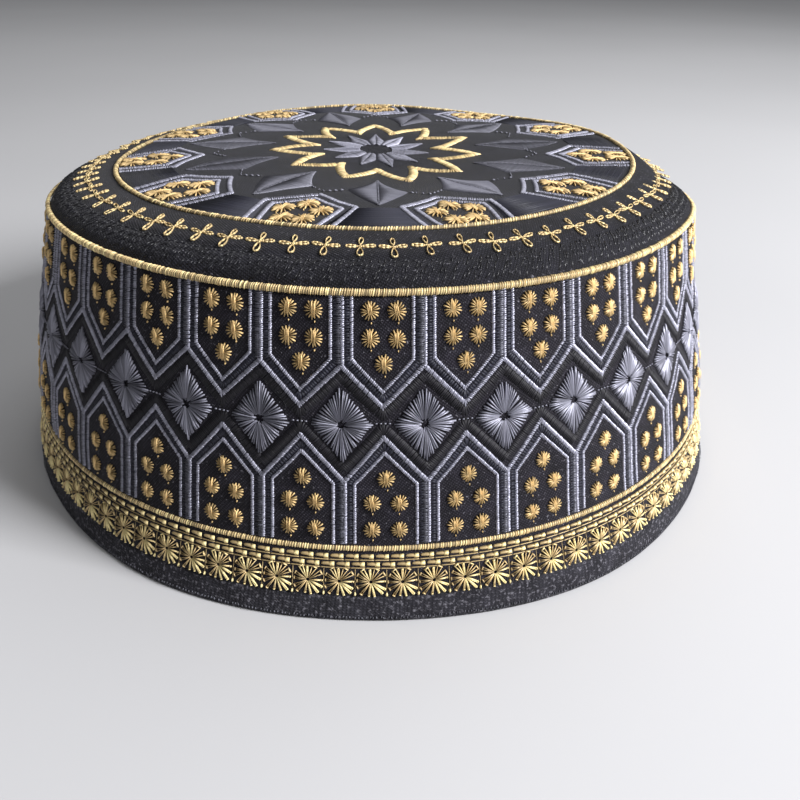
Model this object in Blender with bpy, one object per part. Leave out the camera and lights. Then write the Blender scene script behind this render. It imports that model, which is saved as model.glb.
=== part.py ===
"""A kufi cap: a stiff black cloth band on a hem binding, a soft black shoulder and a round top panel.

Three raised gold cords lie over the seams and the border. The cap is hollow and open below.
Metres, +Z up. The origin is under the middle of the cap, on the surface that it rests on, and
the front faces -Y. Angles run from the front towards the wearer's left, which is +X.
"""

import math
from collections import namedtuple

import bmesh
import bpy

# Driving sizes
SIDES = 72
GAP = 0.0003
CLOTH = 0.0020
BINDING_PROUD = 0.0003
BINDING_THICKNESS = 0.0029
HEM_EDGE_ROUND = 0.0006
CORD_RADIUS = 0.00075
CORD_ARC_STEPS = 4
BAND_STEPS = 5
CROWN_STEPS = 7

# The cap's outer line from the hem to the middle of the top: each row is a named turn of that line
Turn = namedtuple("Turn", "name radius height")
OUTER_LINE = (
    Turn("hem_foot", 0.0953, 0.0),
    Turn("band_foot", 0.0935, 0.0053),
    Turn("border_cord", 0.0900, 0.0152),
    Turn("top_seam", 0.0799, 0.0641),
    Turn("shoulder_crease", 0.0781, 0.0664),
    Turn("shoulder_stitching", 0.0742, 0.0682),
    Turn("flower_ring", 0.0700, 0.0693),
    Turn("crown_seam", 0.0640, 0.0701),
    Turn("crown_middle", 0.0, 0.0709),
)

# Where the soft cap sinks or leans: each spot fades over its spread.
# crown_down sinks everything from the band up, and most at the crown's rim. The band's top edge alone
# sinks by seam_down and leans out by seam_out. The hem alone leans out by foot_out, and the middle of the
# band by waist_out.
SoftSpot = namedtuple(
    "SoftSpot",
    "angle_deg spread_deg crown_down seam_down seam_out foot_out waist_out",
    defaults=(0.0, 0.0, 0.0, 0.0, 0.0),
)
SOFT_SPOTS = (
    SoftSpot(angle_deg=180, spread_deg=180, crown_down=-0.0002, seam_down=0.0014, seam_out=-0.0005),
    SoftSpot(angle_deg=-150, spread_deg=50, crown_down=0.0017, seam_down=-0.0002, seam_out=0.0001),
    SoftSpot(angle_deg=-105, spread_deg=50, crown_down=0.0026, seam_down=-0.0013, seam_out=-0.0018),
    SoftSpot(angle_deg=-60, spread_deg=45, crown_down=0.0010, seam_down=-0.0014, seam_out=0.0002),
    SoftSpot(angle_deg=60, spread_deg=45, crown_down=-0.0004, seam_down=0.0005, seam_out=-0.0007),
    SoftSpot(angle_deg=110, spread_deg=57, crown_down=-0.0003, seam_down=0.0048, seam_out=-0.0006),
    SoftSpot(angle_deg=150, spread_deg=50, crown_down=0.0020),
    SoftSpot(angle_deg=-105, spread_deg=42, foot_out=-0.0034),
    SoftSpot(angle_deg=-62, spread_deg=40, foot_out=-0.0018),
    SoftSpot(angle_deg=0, spread_deg=36, foot_out=-0.0005),
    SoftSpot(angle_deg=30, spread_deg=36, foot_out=0.0008),
    SoftSpot(angle_deg=62, spread_deg=40, foot_out=-0.0016),
    SoftSpot(angle_deg=95, spread_deg=42, foot_out=-0.0034),
    SoftSpot(angle_deg=-75, spread_deg=52, waist_out=0.0011),
    SoftSpot(angle_deg=75, spread_deg=52, waist_out=-0.0005),
)
STILL_SHARE = 0.4
SEAM_SHARE = 1.195
FOOT_TOP = 0.0215

# The shallow dip in the crown, a little in front of its middle and to its right
DIP_X = 0.009
DIP_Y = -0.018
DIP_RADIUS = 0.038
DIP_DEPTH = 0.0021

# Colour, roughness and metallic value of each sub-part, as it looks in daylight
Finish = namedtuple("Finish", "colour roughness metallic")
FINISHES = {
    "hem_binding": Finish((0.014, 0.015, 0.020), 0.85, 0.0),
    "side_band": Finish((0.012, 0.012, 0.017), 0.80, 0.0),
    "border_cord": Finish((0.520, 0.370, 0.150), 0.40, 0.0),
    "top_cord": Finish((0.560, 0.410, 0.180), 0.40, 0.0),
    "crown_shoulder": Finish((0.013, 0.013, 0.018), 0.70, 0.0),
    "crown_cord": Finish((0.540, 0.390, 0.170), 0.40, 0.0),
    "crown_disc": Finish((0.012, 0.012, 0.018), 0.75, 0.0),
}


def smooth_share(value, low, high):
    """0 below low and 1 above high, with a smooth rise between."""
    share = min(1.0, max(0.0, (value - low) / (high - low)))
    return share * share * (3.0 - 2.0 * share)


def turn(name):
    return next(row for row in OUTER_LINE if row.name == name)


def line_between(first, last, steps=1):
    """Points (radius, height) of the outer line from one turn to another, both included.

    The straight runs are cut into this many steps, so that a soft spot can bend them.
    """
    names = [row.name for row in OUTER_LINE]
    rows = OUTER_LINE[names.index(first):names.index(last) + 1]
    points = [(rows[0].radius, rows[0].height)]
    for low, high in zip(rows[:-1], rows[1:]):
        for step in range(1, steps + 1):
            share = step / steps
            radius = low.radius + (high.radius - low.radius) * share
            height = low.height + (high.height - low.height) * share
            points.append((radius, height))
    return points


def inward_normal(line, index):
    """Unit normal (radius, height) into the cap where two runs of the line meet, and its mitre length."""
    runs = []
    for start, end in ((index - 1, index), (index, index + 1)):
        if start >= 0 and end < len(line):
            run = (line[end][0] - line[start][0], line[end][1] - line[start][1])
            length = math.hypot(*run)
            runs.append((run[0] / length, run[1] / length))
    along = (sum(run[0] for run in runs), sum(run[1] for run in runs))
    length = math.hypot(*along)
    along = (along[0] / length, along[1] / length)
    mitre = 1.0 / (along[0] * runs[0][0] + along[1] * runs[0][1])
    return (-along[1], along[0]), mitre


def offset_line(line, depth):
    """The line moved into the cap by a depth, kept parallel to every run."""
    moved = []
    for index, (radius, height) in enumerate(line):
        normal, mitre = inward_normal(line, index)
        if radius == 0.0:
            normal, mitre = (0.0, -1.0), 1.0
        moved.append((radius + normal[0] * depth * mitre, height + normal[1] * depth * mitre))
    return moved


def between(first, second, share):
    """The point (radius, height) at this share of the way from the first to the second."""
    return (
        first[0] + (second[0] - first[0]) * share,
        first[1] + (second[1] - first[1]) * share,
    )


def at_height(run, height):
    """The point at this height on a straight run of two points, drawn on past its ends if need be."""
    return between(run[0], run[1], (height - run[0][1]) / (run[1][1] - run[0][1]))


def pulled_in(line, first_gap, last_gap):
    """The line with its ends moved along it, towards its middle."""
    line = list(line)
    for end, neighbour, gap in ((0, 1, first_gap), (-1, -2, last_gap)):
        across = line[neighbour][0] - line[end][0]
        up = line[neighbour][1] - line[end][1]
        share = gap / math.hypot(across, up)
        line[end] = (line[end][0] + across * share, line[end][1] + up * share)
    return line


def soft_shape(mesh):
    """Moves every point of a bmesh by the soft spots, as cloth that has been worn and handled.

    The crown lies still within STILL_SHARE of its radius, and the band's top edge begins at SEAM_SHARE of it.
    What the hem does fades out at FOOT_TOP.
    """
    low = turn("border_cord").height
    high = turn("top_seam").height
    rim_radius = turn("crown_seam").radius
    still_radius = rim_radius * STILL_SHARE
    for vertex in mesh.verts:
        radius = math.hypot(vertex.co.x, vertex.co.y)
        from_dip = math.hypot(vertex.co.x - DIP_X, vertex.co.y - DIP_Y)
        if from_dip < DIP_RADIUS:
            vertex.co.z -= DIP_DEPTH * (0.5 + 0.5 * math.cos(math.pi * from_dip / DIP_RADIUS))
        if radius < still_radius:
            continue
        angle = math.degrees(math.atan2(vertex.co.x, -vertex.co.y))
        rise = smooth_share(vertex.co.z, low, high)
        crown_share = rise * min(1.0, (radius - still_radius) / (rim_radius - still_radius)) ** 2
        seam_share = rise * smooth_share(radius, rim_radius, rim_radius * SEAM_SHARE)
        foot_share = 1.0 - smooth_share(vertex.co.z, 0.0, FOOT_TOP)
        way_up = min(1.0, max(0.0, vertex.co.z / high))
        waist_share = 4.0 * way_up * (1.0 - way_up)
        out = 0.0
        down = 0.0
        for spot in SOFT_SPOTS:
            away = abs((angle - spot.angle_deg + 180.0) % 360.0 - 180.0)
            if away < spot.spread_deg:
                share = 0.5 + 0.5 * math.cos(math.pi * away / spot.spread_deg)
                out += spot.seam_out * seam_share * share
                out += (spot.foot_out * foot_share + spot.waist_out * waist_share) * share
                down += (spot.crown_down * crown_share + spot.seam_down * seam_share) * share
        scale = 1.0 + out / radius
        vertex.co.x *= scale
        vertex.co.y *= scale
        vertex.co.z -= down


def turned_object(name, outline):
    """One closed object turned about the Z axis from an outline of (radius, height) points.

    The outline runs up the outside and back down the inside, and may touch the axis.
    """
    mesh = bmesh.new()
    verts = [mesh.verts.new((radius, 0.0, height)) for radius, height in outline]
    pairs = list(zip(verts, verts[1:] + verts[:1]))
    edges = [mesh.edges.new(pair) for pair in pairs if pair[0].co.x > 0.0 or pair[1].co.x > 0.0]
    bmesh.ops.spin(
        mesh,
        geom=verts + edges,
        cent=(0.0, 0.0, 0.0),
        axis=(0.0, 0.0, 1.0),
        angle=math.tau,
        steps=SIDES,
        use_merge=True,
    )
    bmesh.ops.remove_doubles(mesh, verts=mesh.verts, dist=1e-6)
    bmesh.ops.recalc_face_normals(mesh, faces=mesh.faces)
    soft_shape(mesh)
    data = bpy.data.meshes.new(name)
    mesh.to_mesh(data)
    mesh.free()
    data.shade_smooth()
    data.set_sharp_from_angle(angle=math.radians(40.0))
    data.materials.append(finish_material(name))
    made = bpy.data.objects.new(name, data)
    bpy.context.scene.collection.objects.link(made)
    return made


def finish_material(name):
    finish = FINISHES[name]
    material = bpy.data.materials.new(name)
    material.use_nodes = True
    shader = material.node_tree.nodes["Principled BSDF"]
    shader.inputs["Base Color"].default_value = (*finish.colour, 1.0)
    shader.inputs["Roughness"].default_value = finish.roughness
    shader.inputs["Metallic"].default_value = finish.metallic
    return material


def cloth_wall(name, first, last, steps=1):
    """A cloth wall between two turns of the outer line, half a gap short of each seam."""
    outer = line_between(first, last, steps)
    whole = line_between("hem_foot", "crown_middle", steps)
    start = whole.index(outer[0])
    inner = offset_line(whole, CLOTH)[start:start + len(outer)]
    last_gap = 0.0 if outer[-1][0] == 0.0 else GAP / 2
    outer = pulled_in(outer, GAP / 2, last_gap)
    inner = pulled_in(inner, GAP / 2, last_gap)
    return turned_object(name, outer + inner[::-1])


def hem_binding():
    """The folded binding under the band: flat below, with all four of its edges rounded."""
    line = line_between("hem_foot", "crown_middle")
    outer = pulled_in(offset_line(line, -BINDING_PROUD)[:2], 0.0, GAP / 2)
    inner = pulled_in(offset_line(line, BINDING_THICKNESS - BINDING_PROUD)[:2], 0.0, GAP / 2)
    top_share = HEM_EDGE_ROUND / turn("band_foot").height
    edge_share = HEM_EDGE_ROUND / BINDING_THICKNESS
    outline = [
        (at_height(outer, 0.0)[0] - HEM_EDGE_ROUND, 0.0),
        at_height(outer, HEM_EDGE_ROUND),
        between(outer[1], outer[0], top_share),
        between(outer[1], inner[1], edge_share),
        between(inner[1], outer[1], edge_share),
        between(inner[1], inner[0], top_share),
        at_height(inner, HEM_EDGE_ROUND),
        (at_height(inner, 0.0)[0] + HEM_EDGE_ROUND, 0.0),
    ]
    return turned_object("hem_binding", outline)


def cord_on_line(name, turn_name, facing_deg):
    """A raised cord with a flat back, lying a gap off the cloth at a turn of the outer line.

    facing_deg is the way that it faces: 0 is straight out and 90 is straight up.
    """
    seat = turn(turn_name)
    facing = math.radians(facing_deg)
    centre = (seat.radius + GAP * math.cos(facing), seat.height + GAP * math.sin(facing))
    outline = []
    for step in range(CORD_ARC_STEPS + 1):
        angle = facing - math.pi / 2 + math.pi * step / CORD_ARC_STEPS
        outline.append((
            centre[0] + CORD_RADIUS * math.cos(angle),
            centre[1] + CORD_RADIUS * math.sin(angle),
        ))
    return turned_object(name, outline)


def main():
    for old in list(bpy.data.objects):
        bpy.data.objects.remove(old)
    hem_binding()
    cloth_wall("side_band", "band_foot", "top_seam", BAND_STEPS)
    cord_on_line("border_cord", "border_cord", facing_deg=16)
    cord_on_line("top_cord", "top_seam", facing_deg=32)
    cloth_wall("crown_shoulder", "top_seam", "crown_seam")
    cord_on_line("crown_cord", "crown_seam", facing_deg=86)
    cloth_wall("crown_disc", "crown_seam", "crown_middle", CROWN_STEPS)


main()
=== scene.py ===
"""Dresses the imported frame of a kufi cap: cloth walls, gold cords and the embroidery, stitch by stitch.

The file is laid out as an add-on and is run as a script. Lengths are metres, or millimetres where a name ends
in MM and in the tables of the embroidery, where angles are degrees. A place on the cap is an angle, from the
front towards +X, and a distance along the cap's outer line, which runs from the foot of the hem up the band
and over the shoulder to the middle of the crown.
"""

import bisect
import math
import random
from collections import namedtuple

import bmesh
import bpy
from mathutils import Matrix, Vector, noise


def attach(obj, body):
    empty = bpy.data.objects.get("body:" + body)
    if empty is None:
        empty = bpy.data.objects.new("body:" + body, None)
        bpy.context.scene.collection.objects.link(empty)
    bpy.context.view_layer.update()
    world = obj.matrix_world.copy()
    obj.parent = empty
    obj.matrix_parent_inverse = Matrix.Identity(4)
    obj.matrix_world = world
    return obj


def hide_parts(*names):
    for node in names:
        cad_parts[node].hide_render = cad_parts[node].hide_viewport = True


bl_info = {
    "name": "Embroidered Kufi Cap",
    "version": (1, 0, 0),
    "blender": (4, 5, 0),
    "location": "View3D > Sidebar > Kufi Cap",
    "description": "Sews the cloth and the embroidery of a kufi cap round its packed frame",
    "category": "Object",
}

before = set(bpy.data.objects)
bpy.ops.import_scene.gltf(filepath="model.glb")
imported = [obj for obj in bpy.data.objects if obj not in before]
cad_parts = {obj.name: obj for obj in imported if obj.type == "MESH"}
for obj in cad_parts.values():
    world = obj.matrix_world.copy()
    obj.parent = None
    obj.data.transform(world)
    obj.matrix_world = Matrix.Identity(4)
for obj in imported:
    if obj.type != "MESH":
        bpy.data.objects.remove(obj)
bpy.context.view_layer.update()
MM = 0.001

# The cap's outer line, which the frame's solids follow too
Turn = namedtuple("Turn", "name radius height")
OUTER_LINE = (
    Turn("hem_foot", 0.0953, 0.0),
    Turn("band_foot", 0.0935, 0.0053),
    Turn("border_cord", 0.0900, 0.0152),
    Turn("top_seam", 0.0799, 0.0641),
    Turn("shoulder_crease", 0.0781, 0.0664),
    Turn("shoulder_stitching", 0.0742, 0.0682),
    Turn("flower_ring", 0.0700, 0.0693),
    Turn("crown_seam", 0.0640, 0.0701),
    Turn("crown_middle", 0.0, 0.0709),
)

# Where the soft cap sinks or leans, as the frame's solids do: each spot fades over its spread.
# crown_down sinks everything from the band up, and most at the crown's rim. The band's top edge alone
# sinks by seam_down and leans out by seam_out. The hem alone leans out by foot_out, and the middle of the
# band by waist_out.
SoftSpot = namedtuple(
    "SoftSpot",
    "angle_deg spread_deg crown_down seam_down seam_out foot_out waist_out",
    defaults=(0.0, 0.0, 0.0, 0.0, 0.0),
)
SOFT_SPOTS = (
    SoftSpot(angle_deg=180, spread_deg=180, crown_down=-0.0002, seam_down=0.0014, seam_out=-0.0005),
    SoftSpot(angle_deg=-150, spread_deg=50, crown_down=0.0017, seam_down=-0.0002, seam_out=0.0001),
    SoftSpot(angle_deg=-105, spread_deg=50, crown_down=0.0026, seam_down=-0.0013, seam_out=-0.0018),
    SoftSpot(angle_deg=-60, spread_deg=45, crown_down=0.0010, seam_down=-0.0014, seam_out=0.0002),
    SoftSpot(angle_deg=60, spread_deg=45, crown_down=-0.0004, seam_down=0.0005, seam_out=-0.0007),
    SoftSpot(angle_deg=110, spread_deg=57, crown_down=-0.0003, seam_down=0.0048, seam_out=-0.0006),
    SoftSpot(angle_deg=150, spread_deg=50, crown_down=0.0020),
    SoftSpot(angle_deg=-105, spread_deg=42, foot_out=-0.0034),
    SoftSpot(angle_deg=-62, spread_deg=40, foot_out=-0.0018),
    SoftSpot(angle_deg=0, spread_deg=36, foot_out=-0.0005),
    SoftSpot(angle_deg=30, spread_deg=36, foot_out=0.0008),
    SoftSpot(angle_deg=62, spread_deg=40, foot_out=-0.0016),
    SoftSpot(angle_deg=95, spread_deg=42, foot_out=-0.0034),
    SoftSpot(angle_deg=-75, spread_deg=52, waist_out=0.0011),
    SoftSpot(angle_deg=75, spread_deg=52, waist_out=-0.0005),
)
STILL_SHARE = 0.4
SEAM_SHARE = 1.195
FOOT_TOP = 0.0215

# The shallow dip in the crown, a little in front of its middle and to its right
DIP_X = 0.009
DIP_Y = -0.018
DIP_RADIUS = 0.038
DIP_DEPTH = 0.0021

# The cloth's own relief: a slight pucker, the groove of the shoulder's seam and the waves of the hem
PUCKER_SIZE = 0.009
PUCKER_DEPTH = 0.00018
GROOVE_DEPTH = 0.00030
GROOVE_HALF_WIDTH = 0.0007
HEM_WAVE_DEPTH = 0.00014
HEM_WAVE_FROM = 0.0015

# Waves of the hem: share of the depth, count round the cap, phase
HEM_WAVES = ((0.6, 61.0, 0.0), (0.5, 23.0, 1.0))

# The side pattern: cells of one width, counted round from the front, and half a cell where the seam cuts it
CELL_DEG = 10.43
FRONT_CELL_DEG = 0.76
CELLS_LEFT_OF_FRONT = 17
CELLS_RIGHT_OF_FRONT = 16

# Half a cell of each line of the band, as corners: angle from the cell's middle, height.
# A line that reaches the middle goes on to the cell's other side.
UPPER_OUTLINE = ((3.88, 63.6), (3.88, 52.2), (0.0, 46.2))
LOWER_OUTLINE = ((3.88, 15.6), (3.88, 28.2), (0.0, 34.5))
UPPER_ZIGZAG = ((CELL_DEG / 2, 51.0), (0.0, 43.3))
LOWER_ZIGZAG = ((CELL_DEG / 2, 28.6), (0.0, 37.6))
# The slate columns beside the bars: each bar's shaded side, painted in darker grey thread
UPPER_BAR_PAINTED_SHADE = ((CELL_DEG / 2 + 0.24, 51.4), (CELL_DEG / 2 + 0.24, 63.6))
LOWER_BAR_PAINTED_SHADE = ((CELL_DEG / 2 + 0.24, 15.6), (CELL_DEG / 2 + 0.24, 28.3))
UPPER_BAR = ((CELL_DEG / 2 - 0.16, 51.0), (CELL_DEG / 2 - 0.16, 63.6))
LOWER_BAR = ((CELL_DEG / 2 - 0.16, 15.6), (CELL_DEG / 2 - 0.16, 28.7))
UPPER_SATIN = ((4.50, 63.6), (4.50, 51.7), (0.0, 44.75))
LOWER_SATIN = ((4.50, 15.6), (4.50, 28.5), (0.0, 36.05))
UPPER_LATTICE = ((CELL_DEG / 2, 49.2), (0.0, 41.9))
LOWER_LATTICE = ((CELL_DEG / 2, 31.2), (0.0, 39.4))
DIAMOND_HEIGHT_MM = 40.0
DIAMOND_HALF_HEIGHT_MM = 7.3
DIAMOND_HALF_WIDTH_DEG = 3.98

# Rosettes of one cell: angle from the middle of the cell, height
UPPER_ROSETTES = ((-1.56, 61.0), (1.80, 60.9), (-1.56, 56.0), (1.80, 55.9), (0.15, 51.4))
LOWER_ROSETTES = ((0.05, 29.3), (-1.72, 24.4), (1.66, 24.3), (-1.72, 18.8), (1.66, 18.8))

# The lower half of the side pattern is sewn a little farther round than the upper half
LEAN_DEG = 0.36
LEAN_BORDER_MM = 15.0
LEAN_LOW_MM = 26.0
LEAN_HIGH_MM = 44.0

# The crown repeats eleven times round
CROWN_REPEATS = 11
FRONT_CROWN_DEG = 0.6


def smooth_share(value, low, high):
    """0 below low and 1 above high, with a smooth rise between."""
    share = min(1.0, max(0.0, (value - low) / (high - low)))
    return share * share * (3.0 - 2.0 * share)


def turn(name):
    return next(row for row in OUTER_LINE if row.name == name)


def soften(point):
    """A point of the round cap, moved by the crown's dip and the soft spots."""
    radius = math.hypot(point.x, point.y)
    dip = 0.0
    from_dip = math.hypot(point.x - DIP_X, point.y - DIP_Y)
    if from_dip < DIP_RADIUS:
        dip = DIP_DEPTH * (0.5 + 0.5 * math.cos(math.pi * from_dip / DIP_RADIUS))
    rim_radius = turn("crown_seam").radius
    still_radius = rim_radius * STILL_SHARE
    if radius < still_radius:
        return Vector((point.x, point.y, point.z - dip))
    angle = math.degrees(math.atan2(point.x, -point.y))
    rise = smooth_share(point.z, turn("border_cord").height, turn("top_seam").height)
    crown_share = rise * min(1.0, (radius - still_radius) / (rim_radius - still_radius)) ** 2
    seam_share = rise * smooth_share(radius, rim_radius, rim_radius * SEAM_SHARE)
    foot_share = 1.0 - smooth_share(point.z, 0.0, FOOT_TOP)
    way_up = min(1.0, max(0.0, point.z / turn("top_seam").height))
    waist_share = 4.0 * way_up * (1.0 - way_up)
    out = 0.0
    down = 0.0
    for spot in SOFT_SPOTS:
        away = abs((angle - spot.angle_deg + 180.0) % 360.0 - 180.0)
        if away < spot.spread_deg:
            share = 0.5 + 0.5 * math.cos(math.pi * away / spot.spread_deg)
            out += spot.seam_out * seam_share * share
            out += (spot.foot_out * foot_share + spot.waist_out * waist_share) * share
            down += (spot.crown_down * crown_share + spot.seam_down * seam_share) * share
    scale = 1.0 + out / radius
    return Vector((point.x * scale, point.y * scale, point.z - down - dip))


def relief(point):
    """How far the outer face of the cloth swells at a point of the round cap."""
    radius = point.xy.length
    if point.z < turn("band_foot").height and radius > turn("border_cord").radius:
        angle = math.atan2(point.x, -point.y)
        wave = sum(share * math.sin(angle * count + phase) for share, count, phase in HEM_WAVES)
        return HEM_WAVE_DEPTH * wave * smooth_share(point.z, 0.0, HEM_WAVE_FROM)
    swell = PUCKER_DEPTH * noise.noise(point / PUCKER_SIZE)
    if point.z > turn("top_seam").height:
        away = (radius - turn("shoulder_stitching").radius) / GROOVE_HALF_WIDTH
        swell -= GROOVE_DEPTH * math.exp(-away * away)
    return swell


class OuterLine:
    """The outer line with its corners eased, read by the distance along it from the hem's foot."""

    STEP = 0.0005
    EASING_PASSES = 5

    def __init__(self, turns):
        corners = [(row.radius, row.height) for row in turns]
        points = [corners[0]]
        for first, last in zip(corners[:-1], corners[1:]):
            length = math.dist(first, last)
            steps = max(1, round(length / self.STEP))
            for step in range(1, steps + 1):
                share = step / steps
                points.append((
                    first[0] + (last[0] - first[0]) * share,
                    first[1] + (last[1] - first[1]) * share,
                ))
        for _ in range(self.EASING_PASSES):
            eased = [points[0]]
            for before, here, after in zip(points[:-2], points[1:-1], points[2:]):
                eased.append((
                    before[0] / 4 + here[0] / 2 + after[0] / 4,
                    before[1] / 4 + here[1] / 2 + after[1] / 4,
                ))
            points = eased + [points[-1]]
        self.points = points
        self.distances = [0.0]
        for first, last in zip(points[:-1], points[1:]):
            self.distances.append(self.distances[-1] + math.dist(first, last))
        self.heights = [point[1] for point in points]
        self.radii_inward = [-point[0] for point in points]

    def place(self, along):
        """(radius, height, outward normal's radius, outward normal's height) at this distance."""
        index = min(max(bisect.bisect_right(self.distances, along) - 1, 0), len(self.points) - 2)
        low = self.points[index]
        high = self.points[index + 1]
        length = self.distances[index + 1] - self.distances[index]
        share = (along - self.distances[index]) / length
        run = ((high[0] - low[0]) / length, (high[1] - low[1]) / length)
        radius = low[0] + (high[0] - low[0]) * share
        height = low[1] + (high[1] - low[1]) * share
        return radius, height, run[1], -run[0]

    def along_of_height(self, height):
        return self.along(self.heights, height)

    def along_of_radius(self, radius):
        """For the shoulder and the crown, where the line runs steadily inwards."""
        return self.along(self.radii_inward, -radius)

    def along(self, values, value):
        """The distance at which the line's rising values reach this value."""
        index = min(max(bisect.bisect_right(values, value) - 1, 0), len(self.points) - 2)
        share = (value - values[index]) / (values[index + 1] - values[index])
        return self.distances[index] + (self.distances[index + 1] - self.distances[index]) * share


LINE = OuterLine(OUTER_LINE)

# A place on the cloth: the point, the way out of the cloth and the way round the cap
Place = namedtuple("Place", "point out round")


def on_cloth(angle_deg, along, lift=0.0):
    """The place at this angle and distance along the outer line, lifted off the cloth."""
    radius, height, out_radius, out_height = LINE.place(along)
    angle = math.radians(angle_deg)
    sine = math.sin(angle)
    cosine = math.cos(angle)
    point = Vector((radius * sine, -radius * cosine, height))
    out = Vector((out_radius * sine, -out_radius * cosine, out_height))
    point += out * (relief(point) + lift)
    return Place(soften(point), out, Vector((cosine, sine, 0.0)))


def on_band(angle_deg, height_mm, lift=0.0):
    lean = LEAN_DEG * (1.0 - smooth_share(height_mm, LEAN_LOW_MM, LEAN_HIGH_MM))
    if height_mm < LEAN_BORDER_MM:
        lean = 0.0
    return on_cloth(angle_deg + lean, LINE.along_of_height(height_mm * MM), lift)


def on_top(angle_deg, radius_mm, lift=0.0):
    return on_cloth(angle_deg, LINE.along_of_radius(radius_mm * MM), lift)


def route(put, corners, step_mm=1.2, lift=0.0):
    """Places along a line of corners (angle, height or radius), close enough to follow the round of the cap.

    put is on_band or on_top.
    """
    places = [put(corners[0][0], corners[0][1], lift)]
    for first, last in zip(corners[:-1], corners[1:]):
        ends = (put(*first).point, put(*last).point)
        steps = max(1, math.ceil((ends[1] - ends[0]).length / (step_mm * MM)))
        for step in range(1, steps + 1):
            share = step / steps
            places.append(put(
                first[0] + (last[0] - first[0]) * share,
                first[1] + (last[1] - first[1]) * share,
                lift,
            ))
    return places


# How far a column of satin may narrow or widen at a corner
MITRE_LEAST = 0.35
MITRE_MOST = 2.2


def rails(places, width):
    """The two edges of a column of satin stitches that follows these places, mitred at its corners."""
    left = []
    right = []
    for index, place in enumerate(places):
        ways = []
        for start, end in ((index - 1, index), (index, index + 1)):
            if start >= 0 and end < len(places):
                ways.append((places[end].point - places[start].point).normalized())
        along = sum(ways, Vector()).normalized()
        side = place.out.cross(along).normalized()
        stretch = min(1.0 / max(along.dot(ways[0]), MITRE_LEAST), MITRE_MOST)
        left.append(Place(place.point + side * width / 2 * stretch, place.out, place.round))
        right.append(Place(place.point - side * width / 2 * stretch, place.out, place.round))
    return left, right


class StitchWork:
    """Stitches that are sewn as one piece: where each lies, which way it turns, its size and its shade."""

    # How unevenly satin is sewn: the place in its pitch, the height, the width and the shade of a stitch
    PITCH_PLAY = (0.3, 0.7)
    HEIGHT_PLAY = (0.85, 1.15)
    WIDTH_PLAY = (0.9, 1.15)
    SHADE_PLAY = (-0.2, 0.2)

    def __init__(self, seed):
        self.random = random.Random(seed)
        self.points = []
        self.turns = []
        self.sizes = []
        self.shades = []

    def add(self, point, way, out, size, shade=None):
        """A stitch whose middle is at a point, running along a way, with size (length, width, height)."""
        side = out.cross(way).normalized()
        up = way.cross(side).normalized()
        self.points.append(point)
        self.turns.append(Matrix((way, side, up)).transposed().to_quaternion())
        self.sizes.append(size)
        self.shades.append(self.random.random() if shade is None else shade)

    def stitch(self, start, end, out, width, height, shade=None):
        """A stitch from one point to another."""
        way = end - start
        length = way.length
        if length > 1e-7:
            self.add((start + end) / 2, way / length, out, (length, width, height), shade)

    def satin(self, left, right, pitch, thread, height, slant=0.0, ragged=0.0, shade=None):
        """Fills the strip between two rails of places with stitches from side to side.

        slant moves the right end of each stitch on by a share of the stitch's length. A stitch's shade is
        near the one that is given, or any.
        """
        for index in range(len(left) - 1):
            low = (left[index], right[index])
            high = (left[index + 1], right[index + 1])
            middle_low = (low[0].point + low[1].point) / 2
            middle_high = (high[0].point + high[1].point) / 2
            length = (middle_high - middle_low).length
            count = max(1, round(length / pitch))
            for number in range(count):
                share = (number + self.random.uniform(*self.PITCH_PLAY)) / count
                start = low[0].point.lerp(high[0].point, share)
                end = low[1].point.lerp(high[1].point, share)
                if slant:
                    end = end + (middle_high - middle_low).normalized() * slant * (end - start).length
                if ragged:
                    way = (end - start).normalized()
                    start = start - way * self.random.uniform(0.0, ragged)
                    end = end + way * self.random.uniform(0.0, ragged)
                out = low[0].out.lerp(high[0].out, share)
                rise = height * self.random.uniform(*self.HEIGHT_PLAY)
                near = None
                if shade is not None:
                    near = min(1.0, max(0.0, shade + self.random.uniform(*self.SHADE_PLAY)))
                self.stitch(start, end, out, thread * self.random.uniform(*self.WIDTH_PLAY), rise, near)

    def column(self, places, width, pitch, thread, height, slant=0.0, ragged=0.0):
        left, right = rails(places, width)
        self.satin(left, right, pitch, thread, height, slant, ragged)

    def between(self, first, last, width, height, shade=None):
        """A stitch from one place to another."""
        self.stitch(first.point, last.point, first.out, width, height, shade)

    def running(self, places, dash, gap, width, height, shade):
        """A running stitch: dashes with gaps between, along the places."""
        at = 0.0
        for first, last in zip(places[:-1], places[1:]):
            way = last.point - first.point
            length = way.length
            while at < length:
                start = first.point + way * (at / length)
                end = first.point + way * (min(at + dash, length) / length)
                self.stitch(start, end, first.out, width, height, shade)
                at += dash + gap
            at -= length


# Sections of the stitch shapes, from one end to the other: distance along, width, height
FLAT_STITCH = ((0.0, 0.75, 0.35), (0.5, 1.0, 1.0), (1.0, 0.75, 0.35))
DOMED_STITCH = ((0.0, 0.9, 0.05), (0.22, 1.0, 0.88), (0.78, 1.0, 0.88), (1.0, 0.9, 0.05))
SHORT_STITCH = ((0.0, 1.0, 1.0), (1.0, 1.0, 1.0))
BLUNT_STITCH = ((0.0, 0.94, 0.65), (0.12, 1.0, 1.0), (0.86, 1.0, 1.0), (1.0, 0.94, 0.55))
RAY_STITCH = ((0.0, 0.40, 0.75), (0.74, 1.0, 1.0), (1.0, 0.72, 0.45))
STITCH_FOOT = -0.2
RIDGE_ABOVE = 0.1

# The stitch that wraps a cord: the radius of its inner edges, half their distance apart and the steps round
WRAP_INNER_RADIUS = 0.72
WRAP_HALF_WIDTH = 0.55
WRAP_STEPS = 5


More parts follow.
